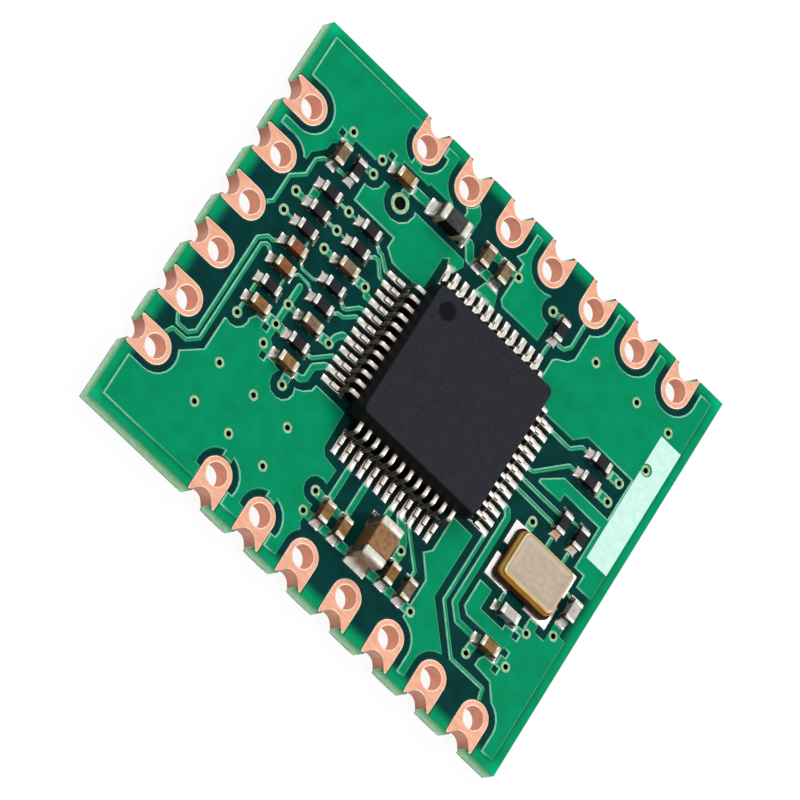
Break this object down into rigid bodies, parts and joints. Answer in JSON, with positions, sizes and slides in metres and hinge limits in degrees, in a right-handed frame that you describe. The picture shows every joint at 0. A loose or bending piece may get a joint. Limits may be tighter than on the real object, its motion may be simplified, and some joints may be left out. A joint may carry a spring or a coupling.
{
  "type": "ethernet_module",
  "caption": "Castellated ethernet interface module: green circuit board with gull-wing chip, crystal, chip passives and plated header holes along its edges",
  "frame": {"origin": "centre of the board's underside", "axes": "+X along the long side, away from the short row of pads; +Y to the far long row; +Z out of the component side"},
  "size_m": [0.0238, 0.0198, 0.0023],
  "materials": {
    "glass_epoxy": "sawn glass-epoxy edge",
    "tinned_copper": "tinned copper land",
    "mask_on_copper": "green solder mask over copper",
    "mask_on_laminate": "green solder mask over bare laminate",
    "via_rings": "plated ring",
    "white_ink": "printed white ink",
    "pad_copper": "plated copper pad",
    "chip_resin": "moulded epoxy, fine matt grain",
    "tinned_lead": "matt tin on formed lead",
    "solder": "reflowed solder",
    "crystal_ceramic": "fired ceramic base",
    "gold_seal": "gold-plated seal ring",
    "crystal_lid_metal": "brushed metal lid",
    "bulk_ceramic": "fired capacitor ceramic",
    "ferrite": "matt ferrite",
    "resistor_coat": "black protective coat",
    "capacitor_ceramic": "fired capacitor ceramic",
    "load_ceramic": "fired capacitor ceramic"
  },
  "bodies": {
    "root": {"laminate": "glass_epoxy", "bare_copper": "tinned_copper", "coated_copper": "mask_on_copper", "top_mask": "mask_on_laminate", "bottom_mask": "mask_on_copper", "vias": "via_rings", "label_field": "white_ink", "edge_pads_far": "pad_copper", "edge_pads_near": "pad_copper", "edge_pads_left": "pad_copper", "chip_body": "chip_resin", "chip_leads_left": "tinned_lead", "chip_leads_right": "tinned_lead", "chip_leads_far": "tinned_lead", "chip_leads_near": "tinned_lead", "chip_solder": "solder", "crystal_base": "crystal_ceramic", "crystal_ring": "gold_seal", "crystal_lid": "crystal_lid_metal", "crystal_solder": "solder", "bulk_capacitor": "bulk_ceramic", "ferrite_bead": "ferrite", "solder_fillets": "solder", "resistor_1": "resistor_coat", "resistor_2": "resistor_coat", "resistor_3": "resistor_coat", "resistor_4": "resistor_coat", "resistor_5": "resistor_coat", "resistor_6": "resistor_coat", "resistor_7": "resistor_coat", "resistor_8": "resistor_coat", "resistor_9": "resistor_coat", "resistor_10": "resistor_coat", "resistor_11": "resistor_coat", "resistor_12": "resistor_coat", "resistor_13": "resistor_coat", "resistor_14": "resistor_coat", "resistor_15": "resistor_coat", "capacitor_1": "capacitor_ceramic", "capacitor_2": "capacitor_ceramic", "capacitor_3": "capacitor_ceramic", "capacitor_4": "capacitor_ceramic", "capacitor_5": "capacitor_ceramic", "capacitor_6": "capacitor_ceramic", "capacitor_7": "capacitor_ceramic", "capacitor_8": "capacitor_ceramic", "capacitor_9": "capacitor_ceramic", "capacitor_10": "capacitor_ceramic", "capacitor_11": "capacitor_ceramic", "capacitor_12": "capacitor_ceramic", "capacitor_13": "capacitor_ceramic", "capacitor_14": "capacitor_ceramic", "capacitor_15": "capacitor_ceramic", "load_capacitor_1": "load_ceramic", "load_capacitor_2": "load_ceramic"}
  },
  "joints": []
}
